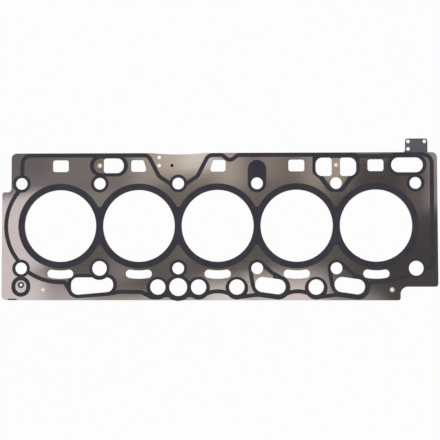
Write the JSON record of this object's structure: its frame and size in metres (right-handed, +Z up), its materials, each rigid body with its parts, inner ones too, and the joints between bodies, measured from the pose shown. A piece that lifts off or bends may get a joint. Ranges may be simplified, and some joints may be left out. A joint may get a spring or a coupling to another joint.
{
  "type": "cylinder head gasket",
  "caption": "Multi-layer steel cylinder head gasket with a row of bores, bolt holes, fluid openings and a printed seal.",
  "frame": {"origin": "centre of the middle cylinder bore, on the plane that the gasket lies on", "axes": "+X along the cylinder row, +Y towards the side with the thickness tab, +Z up through the layers"},
  "size_m": [0.5024, 0.1868, 0.0016],
  "materials": {
    "printed_elastomer": "matt",
    "spring_steel": "satin",
    "carrier_steel": "satin",
    "stopper_steel": "satin",
    "rivet_steel": "satin"
  },
  "bodies": {
    "root": {"upper_seal": "printed_elastomer", "upper_sheet": "spring_steel", "lower_sheet": "spring_steel", "carrier_sheet": "carrier_steel", "rivets": "rivet_steel", "stopper_ring_1": "stopper_steel", "stopper_ring_2": "stopper_steel", "stopper_ring_3": "stopper_steel", "stopper_ring_4": "stopper_steel", "stopper_ring_5": "stopper_steel"}
  },
  "joints": []
}
